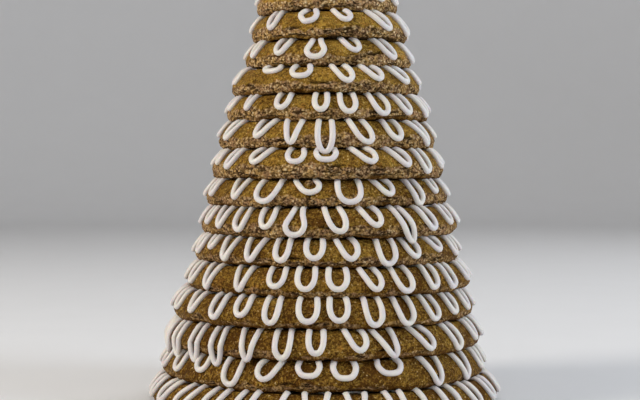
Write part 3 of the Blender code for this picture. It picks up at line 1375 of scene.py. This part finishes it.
@dataclass
class RingCake:
    """The stack of rings with their icing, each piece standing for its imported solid.

    Attributes:
        count: how many rings it has.
        torn_top: how torn the upper rings are, from 0 to 1.
        torn_foot: how torn the lowest ones are.
        toasted_top: how browned the dough is at the top, from 0 to 1.
        toasted_foot: how browned the lowest ring is.
        last_crumbly: the number down to which the rings are as torn as the top one.
        first_smooth: the number from which they are as torn as the lowest one.
    """

    count: int = RING_COUNT
    torn_top: float = 0.95
    torn_foot: float = 0.10
    toasted_top: float = 0.06
    toasted_foot: float = 0.76
    last_crumbly: float = 10.5
    first_smooth: float = 15.5

    def torn_share(self, number: int) -> float:
        """How torn a ring's lower half is: the upper rings crumbled more than the lowest ones."""
        fall = float(soft_step(np.array(number), self.last_crumbly, self.first_smooth))
        return self.torn_top + (self.torn_foot - self.torn_top) * fall

    def build(self) -> None:
        """Makes every ring and its icing, and dresses them."""
        icing = RoyalIcing().material("royal_icing_satin")
        crust = BakedAlmondCrust().material("baked_almond_crust")
        for number in range(1, self.count + 1):
            toasted = self.toasted_top + (self.toasted_foot - self.toasted_top) * number / self.count
            ring = AlmondRing(number, self.torn_share(number), toasted)
            place_piece(ring.build(), ring.node, crust)
            bead = PipedIcing(ring, covered=number > 1)
            place_piece(bead.build(), ring.icing_node, icing)


def place_piece(piece: bpy.types.Object, node: str, look: bpy.types.Material) -> None:
    """Dresses a piece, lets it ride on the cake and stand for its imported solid, and reports it.

    Args:
        piece: the piece.
        node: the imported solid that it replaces.
        look: its material.
    """
    piece.data.materials.append(look)
    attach(piece, BODY)
    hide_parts(node)
    log.info("%s stands for %s: %d faces", piece.name, node, len(piece.data.polygons))


# ---------------------------------------------------------------------------- studio and camera


@dataclass(frozen=True)
class Lamp:
    """A square soft lamp that faces the cake's middle. Lengths are metres, and power is watts."""

    name: str
    place: Point
    size: float
    power: float
    colour: Colour

    AIM = Vector((0.0, 0.0, 0.15))

    def build(self) -> None:
        """Hangs the lamp and turns it to the cake."""
        light = bpy.data.lights.new(self.name, "AREA")
        light.shape = "SQUARE"
        light.size = self.size
        light.energy = self.power
        light.color = self.colour
        lamp = bpy.data.objects.new(self.name, light)
        lamp.location = self.place
        lamp.rotation_mode = "QUATERNION"
        aim = self.AIM - Vector(self.place)
        lamp.rotation_quaternion = aim.to_track_quat("-Z", "Y")
        bpy.context.scene.collection.objects.link(lamp)


@dataclass
class Studio:
    """A pale round floor that curves up into a wall, and soft lamps inside. Lengths are metres.

    Attributes:
        radius: how far the wall is from the cake.
        bend: the radius of the curve between the floor and the wall.
        height: how high the wall is.
        bend_steps: how many steps the curve has.
        sides: how many sides the round has.
        air: the colour of the even light from all round.
        air_strength: how strong that light is.
    """

    radius: float = 3.2
    bend: float = 0.8
    height: float = 3.0
    bend_steps: int = 16
    sides: int = 96
    air: Colour = (1.0, 0.97, 0.93)
    air_strength: float = 0.14

    LAMPS = (
        Lamp("key_lamp", (-1.72, -0.72, 1.15), 0.8, 30.0, (1.0, 0.94, 0.85)),
        Lamp("fill_lamp", (1.75, -0.66, 0.85), 1.0, 23.0, (0.80, 0.89, 1.0)),
        Lamp("top_lamp", (0.1, -0.5, 1.9), 0.9, 5.0, (1.0, 0.98, 0.94)),
        Lamp("back_lamp", (0.9, 1.1, 1.6), 1.0, 8.0, (0.95, 0.97, 1.0)),
    )

    def outline(self) -> list[tuple[float, float]]:
        """The floor's edge, the bend and the wall, seen from the side.

        Returns:
            (radius, height) at each point, from the floor up.
        """
        line = []
        for step in range(self.bend_steps + 1):
            angle = math.pi / 2.0 * step / self.bend_steps
            inset = self.bend * (1.0 - math.sin(angle))
            line.append((self.radius - inset, self.bend * (1.0 - math.cos(angle))))
        return [*line, (self.radius, self.height)]

    def sweep(self) -> None:
        """Turns the floor and the wall round it in one sheet."""
        line = self.outline()
        turns = [math.tau * side / self.sides for side in range(self.sides)]
        points = [(r * math.cos(turn), r * math.sin(turn), z) for r, z in line for turn in turns]
        faces = [tuple(range(self.sides))]
        for row in range(0, (len(line) - 1) * self.sides, self.sides):
            for side in range(self.sides):
                here, ahead = row + side, row + (side + 1) % self.sides
                faces.append((here, here + self.sides, ahead + self.sides, ahead))
        mesh = bpy.data.meshes.new("studio_floor")
        mesh.from_pydata(points, [], faces)
        mesh.shade_smooth()
        floor = bpy.data.objects.new("studio_floor", mesh)
        bpy.context.scene.collection.objects.link(floor)
        mesh.materials.append(StudioPaper().material("studio_paper"))

    def build(self) -> None:
        """Makes the floor, the lamps and the even light from all round."""
        self.sweep()
        for lamp in self.LAMPS:
            lamp.build()
        world = bpy.data.worlds.new("studio_air")
        world.use_nodes = True
        background = world.node_tree.nodes["Background"]
        background.inputs["Color"].default_value = (*self.air, 1.0)
        background.inputs["Strength"].default_value = self.air_strength
        bpy.context.scene.world = world
        bpy.context.scene.view_settings.view_transform = "Standard"


@dataclass
class Lookout:
    """The camera: low in front of the cake, level with its middle. Lengths are metres."""

    distance: float = 0.867
    height: float = 0.141
    aside: float = -0.0024
    pitch: float = math.radians(1.5)
    lens: float = 81.6
    sensor: float = 36.0
    nearest: float = 0.05
    farthest: float = 20.0

    def build(self) -> None:
        """Makes the camera and hands it to the scene."""
        camera = bpy.data.cameras.new("front_camera")
        camera.lens = self.lens
        camera.sensor_width = self.sensor
        camera.clip_start = self.nearest
        camera.clip_end = self.farthest
        eye = bpy.data.objects.new("front_camera", camera)
        eye.location = (self.aside, -self.distance, self.height)
        eye.rotation_euler = (math.pi / 2.0 - self.pitch, 0.0, 0.0)
        bpy.context.scene.collection.objects.link(eye)
        bpy.context.scene.camera = eye


def main() -> None:
    """Builds the camera, the studio and the cake."""
    logging.basicConfig(level=logging.INFO, format="%(name)s: %(message)s")
    Lookout().build()
    Studio().build()
    RingCake().build()


if __name__ == "__main__":
    main()
